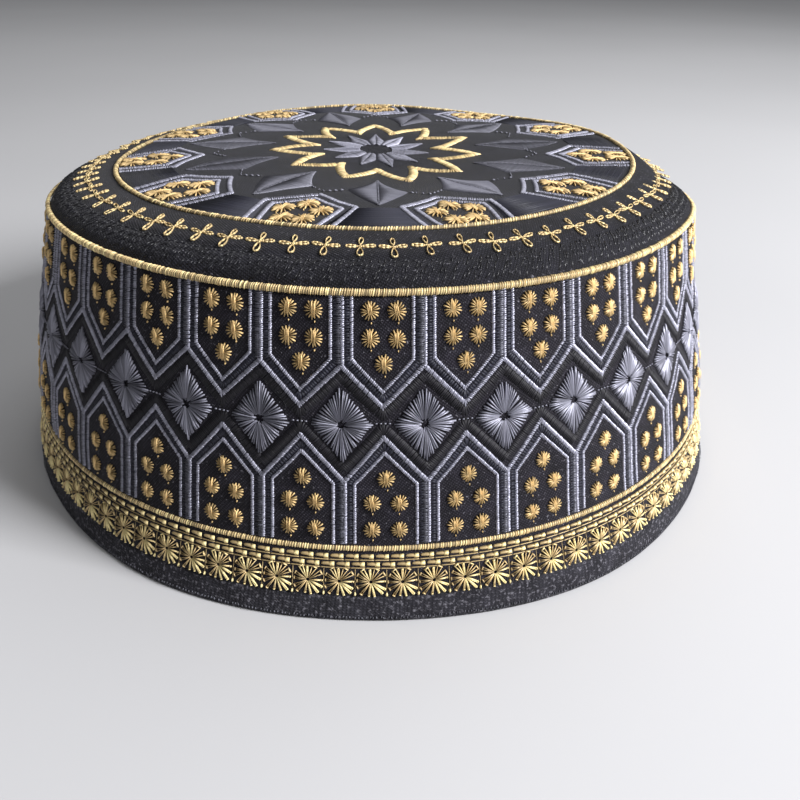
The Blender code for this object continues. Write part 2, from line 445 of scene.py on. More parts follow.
def thread_shape(sections, thread_name):
    """One stitch, one unit long, wide and high, with a ridge along it: the shape that every copy has."""
    mesh = bmesh.new()
    bmesh.ops.create_cone(
        mesh,
        cap_ends=True,
        segments=3,
        radius1=0.5,
        radius2=0.5,
        depth=1.0,
        matrix=Matrix.Rotation(math.radians(-90.0), 4, "Y"),
    )
    for distance, _, _ in sections[1:-1]:
        geometry = mesh.verts[:] + mesh.edges[:] + mesh.faces[:]
        middle = (distance - 0.5, 0.0, 0.0)
        bmesh.ops.bisect_plane(mesh, geom=geometry, plane_co=middle, plane_no=(1.0, 0.0, 0.0))
    for vertex in mesh.verts:
        _, width, height = min(sections, key=lambda section: abs(section[0] - 0.5 - vertex.co.x))
        ridge = vertex.co.z > RIDGE_ABOVE
        vertex.co.y = 0.0 if ridge else math.copysign(width / 2, vertex.co.y)
        vertex.co.z = height if ridge else STITCH_FOOT
    return shape_object(mesh, thread_name)


def wrap_shape(thread_name):
    """One stitch that wraps half round a cord: it spans x from -1 to 1, rises to 1 and is one unit wide."""
    mesh = bmesh.new()
    made = bmesh.ops.create_circle(mesh, cap_ends=False, segments=3, radius=0.5)
    for vertex in made["verts"]:
        outer = vertex.co.y > 0.25
        side = 0.0 if outer else math.copysign(WRAP_HALF_WIDTH, vertex.co.x)
        vertex.co = Vector((1.0 if outer else WRAP_INNER_RADIUS, side, 0.0))
    profile = mesh.verts[:] + mesh.edges[:]
    bmesh.ops.spin(mesh, geom=profile, axis=(0.0, -1.0, 0.0), angle=math.pi, steps=WRAP_STEPS)
    bmesh.ops.remove_doubles(mesh, verts=mesh.verts[:], dist=1e-5)
    bmesh.ops.holes_fill(mesh, edges=mesh.edges[:], sides=3)
    return shape_object(mesh, thread_name)


def shape_object(mesh, thread_name):
    bmesh.ops.recalc_face_normals(mesh, faces=mesh.faces)
    return bpy.data.objects.new("Stitch", finished_mesh("Stitch", mesh, [thread_of(thread_name)]))


def finished_mesh(name, mesh, materials):
    data = bpy.data.meshes.new(name)
    mesh.to_mesh(data)
    mesh.free()
    data.shade_smooth()
    for material in materials:
        data.materials.append(material)
    return data


def copier(shape):
    """A node group that puts the shape on every point, turned and sized by the points' attributes."""
    group = bpy.data.node_groups.new("Sew", "GeometryNodeTree")
    for way in ("INPUT", "OUTPUT"):
        group.interface.new_socket("Geometry", in_out=way, socket_type="NodeSocketGeometry")
    entry = node(group, "NodeGroupInput")
    source = node(group, "GeometryNodeObjectInfo", {"Object": shape})
    turned = node(group, "GeometryNodeInputNamedAttribute", {"Name": "turn"}, data_type="QUATERNION")
    sized = node(group, "GeometryNodeInputNamedAttribute", {"Name": "size"}, data_type="FLOAT_VECTOR")
    copies = node(group, "GeometryNodeInstanceOnPoints", {
        "Points": entry.outputs["Geometry"],
        "Instance": source.outputs["Geometry"],
        "Rotation": turned.outputs["Attribute"],
        "Scale": sized.outputs["Attribute"],
    })
    real = node(group, "GeometryNodeRealizeInstances", {"Geometry": copies.outputs["Instances"]})
    node(group, "NodeGroupOutput", {"Geometry": real.outputs["Geometry"]})
    return group


def sewn_mesh(work, shape):
    """A mesh with the shape copied to every stitch of the work. The shape itself goes."""
    points = bpy.data.meshes.new("Stitch points")
    points.from_pydata(work.points, [], [])
    for name, kind, field, values in (
        ("turn", "QUATERNION", "value", [number for turned in work.turns for number in turned]),
        ("size", "FLOAT_VECTOR", "vector", [number for size in work.sizes for number in size]),
        ("shade", "FLOAT", "value", work.shades),
    ):
        points.attributes.new(name, kind, "POINT").data.foreach_set(field, values)
    holder = bpy.data.objects.new("Stitch points", points)
    bpy.context.scene.collection.objects.link(holder)
    group = copier(shape)
    holder.modifiers.new("Sew", "NODES").node_group = group
    bpy.context.view_layer.update()
    graph = bpy.context.evaluated_depsgraph_get()
    data = bpy.data.meshes.new_from_object(
        holder.evaluated_get(graph),
        preserve_all_data_layers=True,
        depsgraph=graph,
    )
    bpy.data.objects.remove(holder)
    bpy.data.objects.remove(shape)
    bpy.data.meshes.remove(points)
    bpy.data.node_groups.remove(group)
    for spare in ("turn", "size"):
        if spare in data.attributes:
            data.attributes.remove(data.attributes[spare])
    return data


def sew(name, slot, *parts, replaced=()):
    """Makes one piece from finished meshes and pairs (stitch work, stitch shape), and puts it on the cap."""
    whole = bmesh.new()
    whole.verts.layers.float.new("shade")
    materials = []
    for part in parts:
        data = sewn_mesh(*part) if isinstance(part, tuple) else part
        material = data.materials[0]
        if material not in materials:
            materials.append(material)
        before = len(whole.faces)
        whole.from_mesh(data)
        whole.faces.ensure_lookup_table()
        for face in whole.faces[before:]:
            face.material_index = materials.index(material)
        bpy.data.meshes.remove(data)
    put_on_cap(name, finished_mesh(name, whole, materials), replaced)


def put_on_cap(name, data, replaced=()):
    """Links a finished mesh, lets it ride on the frame and hides the frame's parts that it replaces."""
    made = bpy.data.objects.new(name, data)
    bpy.context.scene.collection.objects.link(made)
    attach(made, "root")
    if replaced:
        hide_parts(*replaced)


def cells():
    """(middle angle, is it cut at its middle by the back seam, does it start at the seam) for each cell."""
    rows = []
    for number in range(-CELLS_LEFT_OF_FRONT, CELLS_RIGHT_OF_FRONT + 1):
        rows.append((FRONT_CELL_DEG + number * CELL_DEG, False, number == -CELLS_LEFT_OF_FRONT))
    rows.append((FRONT_CELL_DEG + (CELLS_RIGHT_OF_FRONT + 1) * CELL_DEG, True, False))
    return rows


def sew_lines(piece, seed, shape, *sets):
    """Sews satin lines round the band.

    A set is (half a cell of corners for each line, width, pitch, thread, height, slant, ragged).
    """
    work = StitchWork(seed)
    for halves, *values in sets:
        for half in halves:
            for middle, cut, _ in cells():
                corners = [(middle - angle, height) for angle, height in half]
                if half[-1][0] == 0.0 and not cut:
                    corners += [(middle + angle, height) for angle, height in half[-2::-1]]
                work.column(route(on_band, corners), *values)
    sew(piece, "band_cloth", (work, shape))


# Materials

def node(tree, kind, sockets=None, **settings):
    made = tree.nodes.new(kind)
    for name, value in settings.items():
        setattr(made, name, value)
    fill(tree, made, sockets or {})
    return made


def fill(tree, made, sockets):
    """Gives a node's inputs their values, or links them where an output socket is given."""
    for socket, source in sockets.items():
        if isinstance(source, bpy.types.NodeSocket):
            tree.links.new(source, made.inputs[socket])
        else:
            made.inputs[socket].default_value = source


def colour_ramp(tree, source, stops):
    made = node(tree, "ShaderNodeValToRGB", {"Fac": source})
    elements = made.color_ramp.elements
    elements[0].position = stops[0][0]
    elements[1].position = stops[-1][0]
    for position, _ in stops[1:-1]:
        elements.new(position)
    for element, (_, colour) in zip(elements, stops):
        element.color = (*colour, 1.0)
    return made.outputs["Color"]


def scaled(colour, factor):
    return tuple(min(1.0, channel * factor) for channel in colour)


def new_material(name):
    material = bpy.data.materials.new(name)
    material.use_nodes = True
    return material, material.node_tree, material.node_tree.nodes["Principled BSDF"]


# A thread: the colour that it takes a share of, its gloss and how far its stitches differ in shade
Thread = namedtuple("Thread", "colour share roughness metallic contrast")
THREADS = {
    "Gold thread": Thread("gold", 1.0, 0.38, 0.15, 0.52),
    # The cords' padded core: gold darkened as painted shade that shows in the gaps between the wraps
    "Gold padding": Thread("gold", 0.30, 0.60, 0.0, 0.20),
    "Rosette thread": Thread("rosette", 1.0, 0.42, 0.15, 0.60),
    "Silver thread": Thread("silver", 1.0, 0.34, 0.40, 0.30),
    "Diamond thread": Thread("silver", 0.80, 0.46, 0.30, 0.50),
    "Star thread": Thread("silver", 0.66, 0.45, 0.25, 0.75),
    # Grey thread is darkened silver; on the band it paints the bars' shaded side
    "Grey thread": Thread("silver", 0.38, 0.42, 0.35, 0.50),
    "Hem thread": Thread("silver", 0.24, 0.60, 0.0, 0.60),
    "Dark satin thread": Thread("navy", 1.0, 0.52, 0.0, 0.35),
    "Black thread": Thread("band", 1.0, 0.58, 0.0, 0.40),
    "Black satin thread": Thread("shoulder", 1.0, 0.34, 0.0, 0.60),
}
STITCH_SHADE_SHARE = 0.6
MOTTLE_SHADE_SHARE = 0.4


def thread_of(name):
    """Shiny twisted thread: each stitch has its own shade, and a fine twist breaks its gloss. Made once."""
    if name in bpy.data.materials:
        return bpy.data.materials[name]
    row = THREADS[name]
    colour = scaled(getattr(bpy.context.scene.kufi_colours, row.colour), row.share)
    material, tree, shader = new_material(name)
    place = node(tree, "ShaderNodeTexCoord").outputs["Object"]
    mottle = node(tree, "ShaderNodeTexNoise", {"Vector": place, "Scale": 160.0, "Detail": 3.0})
    spread = node(tree, "ShaderNodeMath", {
        0: mottle.outputs["Fac"],
        1: MOTTLE_SHADE_SHARE,
    }, operation="MULTIPLY")
    shade = node(tree, "ShaderNodeAttribute", attribute_name="shade")
    mixed = node(tree, "ShaderNodeMath", {
        0: shade.outputs["Fac"],
        1: STITCH_SHADE_SHARE,
        2: spread.outputs[0],
    }, operation="MULTIPLY_ADD")
    twist = node(tree, "ShaderNodeTexNoise", {"Vector": place, "Scale": 5200.0, "Detail": 2.0})
    bump = node(tree, "ShaderNodeBump", {
        "Height": twist.outputs["Fac"],
        "Strength": 0.35,
        "Distance": 0.00006,
    })
    fill(tree, shader, {
        "Base Color": colour_ramp(tree, mixed.outputs[0], (
            (0.1, scaled(colour, 1.0 - row.contrast)),
            (0.5, colour),
            (0.9, scaled(colour, 1.0 + row.contrast)),
        )),
        "Normal": bump.outputs["Normal"],
        "Roughness": row.roughness,
        "Metallic": row.metallic,
        "Specular IOR Level": 0.4,
    })
    return material


# A cloth: its colour, the pitch and slant of its weave, how bright its lint is, its roughness, how fine the
# lint is, how much the weave shows, and the noise value from which there is lint
Cloth = namedtuple(
    "Cloth",
    "colour rib_mm weft_mm slant_deg speck roughness lint_scale weave_share speck_from",
    defaults=(0.75, 1500.0, 0.45, 0.59),
)
CLOTHS = {
    "Band twill": Cloth("band", 0.55, 0.45, 38.0, 0.55),
    "Hem binding": Cloth("hem", 0.8, 0.6, 4.0, 0.38, 0.9, 1150.0, 0.12, 0.52),
    "Shoulder cloth": Cloth("shoulder", 0.5, 0.5, 30.0, 0.45),
    "Crown ground": Cloth("crown", 0.45, 0.45, 20.0, 0.2, 0.55),
}
LINT_COLOUR = (0.30, 0.29, 0.33, 1.0)
SPECK_RISE = 0.15
MIX_FIRST = 6
MIX_SECOND = 7
MIX_RESULT = 2
WAVE_BANDS = 20.0


def cloth_material(name):
    """Woven cloth on the piece's own UV map, which is in metres: ribs, weft, lint specks and a sheen."""
    row = CLOTHS[name]
    colour = tuple(getattr(bpy.context.scene.kufi_colours, row.colour))
    material, tree, shader = new_material(name)
    place = node(tree, "ShaderNodeTexCoord").outputs["UV"]
    slant = (0.0, 0.0, math.radians(row.slant_deg))
    slanted = node(tree, "ShaderNodeMapping", {"Vector": place, "Rotation": slant}).outputs["Vector"]
    ribs = node(tree, "ShaderNodeTexWave", {
        "Vector": slanted,
        "Scale": wave_scale(row.rib_mm),
        "Distortion": 0.6,
        "Detail": 1.0,
    })
    weft = node(tree, "ShaderNodeTexWave", {
        "Vector": slanted,
        "Scale": wave_scale(row.weft_mm),
        "Distortion": 0.4,
    }, bands_direction="Y")
    weave = node(tree, "ShaderNodeMath", {
        0: ribs.outputs["Fac"],
        1: weft.outputs["Fac"],
    }, operation="MULTIPLY")
    mottle = node(tree, "ShaderNodeTexNoise", {"Vector": place, "Scale": 240.0, "Detail": 4.0})
    lint = node(tree, "ShaderNodeTexNoise", {
        "Vector": place,
        "Scale": row.lint_scale,
        "Detail": 3.0,
        "Roughness": 0.7,
    }).outputs["Fac"]
    tone = node(tree, "ShaderNodeMath", {
        0: weave.outputs[0],
        1: row.weave_share,
        2: mottle.outputs["Fac"],
    }, operation="MULTIPLY_ADD")
    specks = node(tree, "ShaderNodeMapRange", {
        "Value": lint,
        "From Min": row.speck_from,
        "From Max": row.speck_from + SPECK_RISE,
        "To Max": row.speck,
    }, interpolation_type="SMOOTHSTEP")
    ground = colour_ramp(tree, tone.outputs[0], (
        (0.25, scaled(colour, 0.45)),
        (0.6, colour),
        (1.0, scaled(colour, 2.8)),
    ))
    lit = node(tree, "ShaderNodeMix", {
        "Factor": specks.outputs["Result"],
        MIX_FIRST: ground,
        MIX_SECOND: LINT_COLOUR,
    }, data_type="RGBA")
    bump = node(tree, "ShaderNodeBump", {"Height": weave.outputs[0], "Strength": 0.6, "Distance": 0.00018})
    grain = node(tree, "ShaderNodeBump", {
        "Height": lint,
        "Normal": bump.outputs["Normal"],
        "Strength": 0.35,
        "Distance": 0.0001,
    })
    fill(tree, shader, {
        "Base Color": lit.outputs[MIX_RESULT],
        "Normal": grain.outputs["Normal"],
        "Roughness": row.roughness,
        "Specular IOR Level": 0.14,
        "Sheen Weight": 0.05,
        "Sheen Roughness": 0.5,
    })
    return material


def wave_scale(pitch_mm):
    """The Wave texture's scale that gives bands of this pitch on coordinates in metres."""
    return math.tau / WAVE_BANDS / (pitch_mm * MM)


# Cloth walls

CLOTH_THICKNESS = 0.0020
CLOTH_SEGMENTS = 288


def wall_outline(first_along, last_along, step):
    """Outline (radius, height, distance along) of a cloth wall: up its outer face and down its inner one."""
    count = max(2, round((last_along - first_along) / step))
    outer = []
    inner = []
    for number in range(count + 1):
        along = first_along + (last_along - first_along) * number / count
        radius, height, out_radius, out_height = LINE.place(along)
        outer.append((radius, height, along))
        inner.append((radius - out_radius * CLOTH_THICKNESS, height - out_height * CLOTH_THICKNESS, -along))
    return outer + inner[::-1]


def turned_cloth(outline, segments, material, puckered=True):
    """A closed ring of cloth turned from an outline, with its own UV map in metres."""
    mesh = bmesh.new()
    along_layer = mesh.verts.layers.float.new("along")
    verts = [mesh.verts.new((0.0, -radius, height)) for radius, height, _ in outline]
    for first, last in zip(verts, verts[1:] + verts[:1]):
        if first.co.y < 0.0 or last.co.y < 0.0:
            mesh.edges.new((first, last))
    for vertex, (_, _, along) in zip(verts, outline):
        vertex[along_layer] = along
    profile = mesh.verts[:] + mesh.edges[:]
    bmesh.ops.spin(mesh, geom=profile, axis=(0.0, 0.0, 1.0), angle=math.tau, steps=segments, use_merge=True)
    bmesh.ops.remove_doubles(mesh, verts=mesh.verts[:], dist=1e-6)
    bmesh.ops.recalc_face_normals(mesh, faces=mesh.faces[:])
    uv_layer = mesh.loops.layers.uv.new("UVMap")
    mean_radius = sum(row[0] for row in outline) / len(outline)
    for face in mesh.faces:
        middle = face.calc_center_median()
        middle_angle = math.atan2(middle.x, -middle.y)
        for loop in face.loops:
            co = loop.vert.co
            angle = math.atan2(co.x, -co.y) if co.xy.length > 1e-6 else middle_angle
            angle += math.tau * round((middle_angle - angle) / math.tau)
            loop[uv_layer].uv = (angle * mean_radius, loop.vert[along_layer])
    mesh.normal_update()
    for vertex in mesh.verts:
        if puckered and vertex[along_layer] > 0.0:
            vertex.co += vertex.normal * relief(vertex.co)
        vertex.co = soften(vertex.co)
    return finished_mesh("Cloth", mesh, [material])


def sew_cloth(name, replaced, cloth_name, outline, segments=CLOTH_SEGMENTS):
    put_on_cap(name, turned_cloth(outline, segments, cloth_material(cloth_name)), [replaced])


# What every colour property says
COLOUR = {"subtype": "COLOR", "size": 3, "min": 0.0, "max": 1.0}


class KufiColours(bpy.types.PropertyGroup):
    """The colours of the cloth and of the threads."""

    band: bpy.props.FloatVectorProperty(
        name="Band cloth",
        description="Black twill of the side band",
        default=(0.0085, 0.0076, 0.0112),
        **COLOUR,
    )
    hem: bpy.props.FloatVectorProperty(
        name="Hem binding",
        description="Ribbed black binding round the lower edge",
        default=(0.0200, 0.0195, 0.0245),
        **COLOUR,
    )
    shoulder: bpy.props.FloatVectorProperty(
        name="Shoulder cloth",
        description="Soft black cloth of the shoulder",
        default=(0.0062, 0.0060, 0.0088),
        **COLOUR,
    )
    crown: bpy.props.FloatVectorProperty(
        name="Crown cloth",
        description="Black ground of the top panel",
        default=(0.0062, 0.0062, 0.0098),
        **COLOUR,
    )
    navy: bpy.props.FloatVectorProperty(
        name="Dark satin thread",
        description="Blue-black thread of the bands between the silver lines",
        default=(0.0150, 0.0155, 0.0260),
        **COLOUR,
    )
    silver: bpy.props.FloatVectorProperty(
        name="Silver thread",
        description="Grey thread with a lavender tint",
        default=(0.335, 0.335, 0.405),
        **COLOUR,
    )
    gold: bpy.props.FloatVectorProperty(
        name="Gold thread",
        description="Pale straw gold thread",
        default=(0.76, 0.57, 0.29),
        **COLOUR,
    )
    rosette: bpy.props.FloatVectorProperty(
        name="Rosette thread",
        description="Deeper gold thread of the rosettes",
        default=(0.62, 0.44, 0.205),
        **COLOUR,
    )


class KufiSizes(bpy.types.PropertyGroup):
    """The sizes of the stitches."""

    thread: bpy.props.FloatProperty(
        name="Thread width",
        description="Width of one satin stitch",
        unit="LENGTH",
        default=0.00052,
        min=0.0001,
    )
    satin_pitch: bpy.props.FloatProperty(
        name="Satin pitch",
        description="Distance from one satin stitch to the next",
        unit="LENGTH",
        default=0.00037,
        min=0.0001,
    )
    rosette_radius: bpy.props.FloatProperty(
        name="Rosette radius",
        description="Length of a rosette's rays",
        unit="LENGTH",
        default=0.00170,
        min=0.0005,
    )
    rosette_rays: bpy.props.IntProperty(
        name="Rosette rays",
        description="Rays in one rosette",
        default=16,
        min=6,
    )
    cord_radius: bpy.props.FloatProperty(
        name="Cord radius",
        description="Half the height of a raised gold cord",
        unit="LENGTH",
        default=0.00076,
        min=0.0002,
    )


class KufiBandCloth(bpy.types.Operator):
    """Sew the side band's cloth and the hem binding"""

    bl_idname = "kufi.band_cloth"
    bl_label = "Band cloth and hem"

    STEP = 0.0016

    def execute(self, context):
        foot = LINE.along_of_height(turn("band_foot").height)
        top = LINE.along_of_height(turn("top_seam").height)
        sew_cloth("band_cloth", "side_band", "Band twill", wall_outline(foot, top, self.STEP))
        sew_cloth("hem_binding_cloth", "hem_binding", "Hem binding", hem_outline())
        return {"FINISHED"}


# The hem binding's section: its width at the foot and at its folded end, how far its corners are eased,
# its bulge and how far up its rows of points lie
HEM_FOOT_WIDTH = 0.0032
HEM_FOOT_EASE = 0.0009
HEM_INNER_EASE = 0.0006
HEM_INNER_FOLD = 0.0001
HEM_END_WIDTH = 0.0022
HEM_END_EASE = 0.0003
HEM_END_DROP = 0.0004
HEM_BULGE = 0.00022
HEM_OUTER_SHARES = (0.06, 0.2, 0.4, 0.6, 0.8, 0.93)
HEM_INNER_SHARES = (0.8, 0.4, 0.1)


def hem_outline():
    """Outline of the binding folded round the lower edge, flat where it stands."""
    foot = turn("hem_foot").radius
    inner_foot = foot - HEM_FOOT_WIDTH
    end = turn("band_foot").radius
    top = turn("band_foot").height
    slope = (end - foot) / top
    rows = [(foot - HEM_FOOT_EASE, 0.0)]
    for share in HEM_OUTER_SHARES:
        bulge = HEM_BULGE * math.sin(math.pi * share)
        rows.append((foot + slope * top * share + bulge, top * share))
    rows.append((end - HEM_END_EASE, top))
    rows.append((end - HEM_END_WIDTH, top - HEM_END_DROP))
    for share in HEM_INNER_SHARES:
        rows.append((inner_foot + slope * top * share + HEM_INNER_FOLD, top * share))
    rows.append((inner_foot + HEM_INNER_EASE, 0.0))
    along = 0.0
    outline = []
    for last, row in zip(rows[:1] + rows, rows):
        along += math.dist(last, row)
        outline.append((*row, along))
    return outline


class KufiTopCloth(bpy.types.Operator):
    """Sew the shoulder's cloth and the crown's top panel"""

    bl_idname = "kufi.top_cloth"
    bl_label = "Shoulder and crown cloth"

    SHOULDER_STEP = 0.0008
    CROWN_STEP = 0.0020
    CROWN_SEGMENTS = 240

    def execute(self, context):
        seam = LINE.along_of_height(turn("top_seam").height)
        ring = LINE.along_of_radius(turn("crown_seam").radius)
        outline = wall_outline(seam, ring, self.SHOULDER_STEP)
        sew_cloth("shoulder_cloth", "crown_shoulder", "Shoulder cloth", outline)
        outline = wall_outline(ring, LINE.distances[-1], self.CROWN_STEP)
        outline = [row if abs(row[0]) > 1e-6 else (0.0, *row[1:]) for row in outline]
        sew_cloth("crown_cloth", "crown_disc", "Crown ground", outline, self.CROWN_SEGMENTS)
        return {"FINISHED"}


# A cord: its piece, the turn of the outer line that seats it and how much lower it lies, its share of the
# cord radius, the way it faces, and the pitch, slant and seed of its wrapped stitches
Cord = namedtuple("Cord", "piece turn lower thickness facing_deg pitch slant_deg seed")


class KufiCords(bpy.types.Operator):
    """Sew the three raised gold cords, each a padded core under wrapped stitches"""

    bl_idname = "kufi.cords"
    bl_label = "Gold cords"

    CORDS = (
        Cord("border_cord_stitches", "border_cord", 0.00045, 0.88, 16.0, 0.00050, 10.0, 11),
        Cord("top_cord_stitches", "top_seam", 0.0, 1.0, 32.0, 0.00042, 10.0, 12),
        Cord("crown_cord_stitches", "crown_seam", 0.0, 0.88, 86.0, 0.00056, 26.0, 13),
    )
    CORE_SHARE = 0.8
    CORE_STEPS = 8
    CORE_SEGMENTS = 240

    # How unevenly the wraps are sewn: shares of their pitch, slant in degrees, shares of their size and width
    PITCH_PLAY = (-0.2, 0.2)
    SLANT_PLAY = (-5.0, 5.0)
    SIZE_PLAY = (0.88, 1.1)
    WIDTH_PLAY = (0.68, 0.88)

    def execute(self, context):
        for cord in self.CORDS:
            seat = turn(cord.turn)
            seat = seat._replace(height=seat.height - cord.lower)
            radius = context.scene.kufi_sizes.cord_radius * cord.thickness
            facing = math.radians(cord.facing_deg)
            outline = self.core_outline(seat, facing, radius * self.CORE_SHARE)
            # The core's darkened gold is painted shade in the gaps between the wrapped stitches
            core = turned_cloth(outline, self.CORE_SEGMENTS, thread_of("Gold padding"), puckered=False)
            wraps = (self.wraps(cord, seat, facing, radius), wrap_shape("Gold thread"))
            sew(cord.piece, "gold_thread", core, wraps, replaced=[cord.piece.removesuffix("_stitches")])
        return {"FINISHED"}

    def wraps(self, cord, seat, facing, radius):
        work = StitchWork(cord.seed)
        count = round(math.tau * seat.radius / cord.pitch)
        for number in range(count):
            angle = math.tau * (number + work.random.uniform(*self.PITCH_PLAY)) / count
            out_flat = Vector((math.sin(angle), -math.cos(angle), 0.0))
            out = out_flat * math.cos(facing) + Vector((0.0, 0.0, math.sin(facing)))
            round_way = Vector((math.cos(angle), math.sin(angle), 0.0))
            point = out_flat * seat.radius + Vector((0.0, 0.0, seat.height))
            lean = math.radians(cord.slant_deg + work.random.uniform(*self.SLANT_PLAY))
            way = out.cross(round_way) * math.cos(lean) + round_way * math.sin(lean)
            size = radius * work.random.uniform(*self.SIZE_PLAY)
            width = cord.pitch * work.random.uniform(*self.WIDTH_PLAY)
            work.add(soften(point), way, out, (size, width, size))
        return work

    def core_outline(self, seat, facing, radius):
        """Outline of a cord's core: a half round on the cloth, facing this way."""
        outline = []
        for step in range(self.CORE_STEPS + 1):
            angle = facing - math.pi / 2 + math.pi * step / self.CORE_STEPS
            outline.append((
                seat.radius + radius * math.cos(angle),
                seat.height + radius * math.sin(angle),
                radius * math.pi * step / self.CORE_STEPS,
            ))
        return outline


class KufiBandSatin(bpy.types.Operator):
    """Sew the dark satin between the silver lines, and the black lattice round the diamonds"""

    bl_idname = "kufi.band_satin"
    bl_label = "Dark satin of the band"

    def execute(self, context):
        pitch = context.scene.kufi_sizes.satin_pitch
        sew_lines(
            "band_dark_satin", 21, thread_shape(SHORT_STITCH, "Dark satin thread"),
            ((UPPER_SATIN, LOWER_SATIN), 1.15 * MM, 0.55 * MM, 0.62 * MM, 0.11 * MM),
        )
        sew_lines(
            "band_lattice", 22, thread_shape(SHORT_STITCH, "Black thread"),
            ((UPPER_LATTICE, LOWER_LATTICE), 1.9 * MM, pitch * 1.2, 0.58 * MM, 0.18 * MM),
        )
        return {"FINISHED"}


class KufiBandSilver(bpy.types.Operator):
    """Sew the silver outlines, zigzags and divider bars of the side band, each bar's shaded side painted as a
    column of darker grey thread
    """

    bl_idname = "kufi.band_silver"
    bl_label = "Silver lines of the band"

    def execute(self, context):
        pitch = context.scene.kufi_sizes.satin_pitch
        thread = context.scene.kufi_sizes.thread
        sew_lines(
            "band_outlines", 31, thread_shape(DOMED_STITCH, "Silver thread"),
            ((UPPER_OUTLINE, LOWER_OUTLINE), 0.62 * MM, pitch, thread, 0.42 * MM, 0.30, 0.08 * MM),
        )
        sew_lines(
            "band_zigzags", 32, thread_shape(DOMED_STITCH, "Silver thread"),
            ((UPPER_ZIGZAG, LOWER_ZIGZAG), 0.88 * MM, pitch, thread, 0.50 * MM, 0.25, 0.10 * MM),
            ((UPPER_BAR, LOWER_BAR), 0.72 * MM, pitch, thread, 0.56 * MM, 0.25, 0.07 * MM),
        )
        # Each bar's shaded side, painted as a column of darker grey thread left of the silver bar
        sew_lines(
            "band_bars", 33, thread_shape(FLAT_STITCH, "Grey thread"),
            ((UPPER_BAR_PAINTED_SHADE, LOWER_BAR_PAINTED_SHADE), 1.05 * MM, pitch * 1.2, 0.55 * MM, 0.40 * MM, 0.0, 0.07 * MM),
        )
        return {"FINISHED"}


class KufiDiamonds(bpy.types.Operator):
    """Sew the silver diamonds of the side band, each a burst of rays round a small hole"""

    bl_idname = "kufi.diamonds"
    bl_label = "Silver diamonds"

    RAYS = 54
    HOLE_MM = 0.62
    DOTS_HEIGHT_MM = 40.3
    DOTS_GAP_DEG = 0.25
    DOTS_WITHIN_DEG = 175.0
    RAY_WIDTH_MM = 0.42
    RAY_HEIGHT_MM = 0.44
    INNER_LIFT_MM = 0.34
    OUTER_LIFT_MM = 0.22

    def execute(self, context):
        work = StitchWork(41)
        dots = StitchWork(42)
        reach = CELL_DEG / 2 - DIAMOND_HALF_WIDTH_DEG - self.DOTS_GAP_DEG
        for middle, _, at_seam in cells():
            self.burst(work, middle - CELL_DEG / 2, right_only=at_seam)
            if abs(middle) < self.DOTS_WITHIN_DEG:
                ends = ((middle - reach, self.DOTS_HEIGHT_MM), (middle + reach, self.DOTS_HEIGHT_MM))
                places = route(on_band, ends, 4.0, 0.25 * MM)
                dots.running(places, 0.40 * MM, 0.42 * MM, 0.26 * MM, 0.24 * MM, 0.5)
        rays = (work, thread_shape(RAY_STITCH, "Diamond thread"))
        sew("band_diamonds", "band_cloth", rays, (dots, thread_shape(SHORT_STITCH, "Diamond thread")))
        return {"FINISHED"}

    def burst(self, work, middle, right_only):
        """Rays from round the hole out to the diamond's edge, with ragged ends."""
        ring = LINE.place(LINE.along_of_height(DIAMOND_HEIGHT_MM * MM))[0] / MM
        half_width = math.radians(DIAMOND_HALF_WIDTH_DEG) * ring
        half_height = DIAMOND_HALF_HEIGHT_MM
        degrees = DIAMOND_HALF_WIDTH_DEG / half_width
        corners = ((0.0, half_height), (half_width, 0.0), (0.0, -half_height), (-half_width, 0.0))
        for number in range(self.RAYS):
            share = (number + work.random.uniform(-0.25, 0.25)) / self.RAYS * 4.0
            side = int(share) % 4
            part = share - math.floor(share)
            first = corners[side]
            last = corners[(side + 1) % 4]
            end = (first[0] + (last[0] - first[0]) * part, first[1] + (last[1] - first[1]) * part)
            if right_only and end[0] < 0.0:
                continue
            reach = work.random.uniform(0.95, 1.03)
            hole = self.HOLE_MM * work.random.uniform(0.9, 2.2) / math.hypot(*end)
            places = []
            for share, lift in ((hole, self.INNER_LIFT_MM), (reach, self.OUTER_LIFT_MM)):
                height = DIAMOND_HEIGHT_MM + end[1] * share
                places.append(on_band(middle + end[0] * share * degrees, height, lift * MM))
            height = self.RAY_HEIGHT_MM * MM * work.random.uniform(0.55, 1.4)
            work.between(*places, self.RAY_WIDTH_MM * MM, height)


class KufiRosettes(bpy.types.Operator):
    """Sew the gold rosettes in the cells of the band"""

    bl_idname = "kufi.rosettes"
    bl_label = "Gold rosettes"

    # The cell that the back seam cuts keeps its rosettes left of this angle
    CUT_CELL_DEG = -1.0

    def execute(self, context):
        sizes = context.scene.kufi_sizes
        for piece, spots, seed in (
            ("upper_rosettes", UPPER_ROSETTES, 51),
            ("lower_rosettes", LOWER_ROSETTES, 52),
        ):
            work = StitchWork(seed)
            for middle, cut, _ in cells():
                for angle, height in spots:
                    if not cut or angle < self.CUT_CELL_DEG:
                        place = on_band(middle + angle, height)
                        rosette(work, place, sizes.rosette_radius, sizes.rosette_rays)
            sew(piece, "gold_thread", (work, thread_shape(RAY_STITCH, "Rosette thread")))
        return {"FINISHED"}


# A rosette: where its rays start as a share of its radius, how high they end, their height, and the offsets,
# lift, width and height of the long stitches over them
ROSETTE_HOLE = 0.10
ROSETTE_EDGE_MM = 0.14
ROSETTE_RAY_HEIGHT_MM = 0.36
LONG_OFFSETS_MM = (-0.28, 0.0, 0.26)
LONG_LIFT_MM = 0.10
LONG_WIDTH_MM = 0.32
LONG_HEIGHT_MM = 0.30
KNOT_HALF_MM = 0.2
KNOT_WIDTH_MM = 0.34


